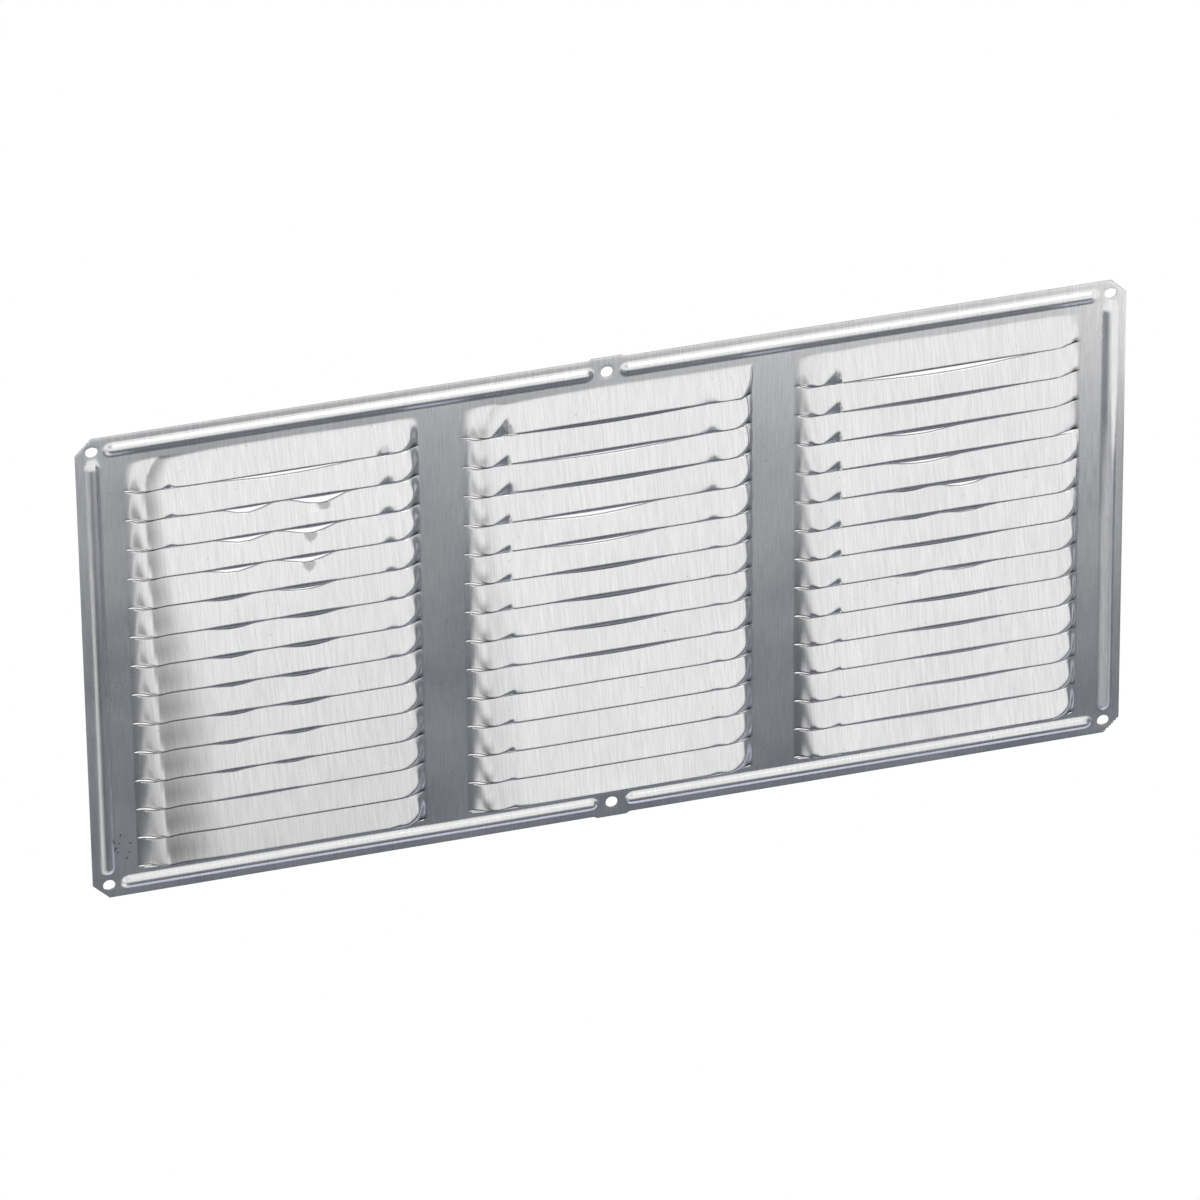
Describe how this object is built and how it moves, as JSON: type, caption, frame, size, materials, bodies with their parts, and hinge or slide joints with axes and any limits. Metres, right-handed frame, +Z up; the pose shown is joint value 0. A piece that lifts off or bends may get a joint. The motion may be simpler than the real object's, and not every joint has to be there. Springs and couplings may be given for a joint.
{
  "type": "under eave vent",
  "caption": "Flat rectangular louvred panel pressed from one aluminium sheet, with banks of slit blades, a beaded rim and nail holes, to let air into a roof through its soffit.",
  "frame": {"origin": "centre of the rectangle of corner nail holes, in the plane of the sheet's back", "axes": "+X along the long side, to the right as seen from the front; +Y out of the back, so the front with its blades faces -Y; +Z up the short side, towards the edge at the head of the blades"},
  "size_m": [0.4064, 0.0053, 0.2032],
  "materials": {
    "mill_aluminium": "mill finish"
  },
  "bodies": {
    "root": {"louvre_panel": "mill_aluminium"}
  },
  "joints": []
}
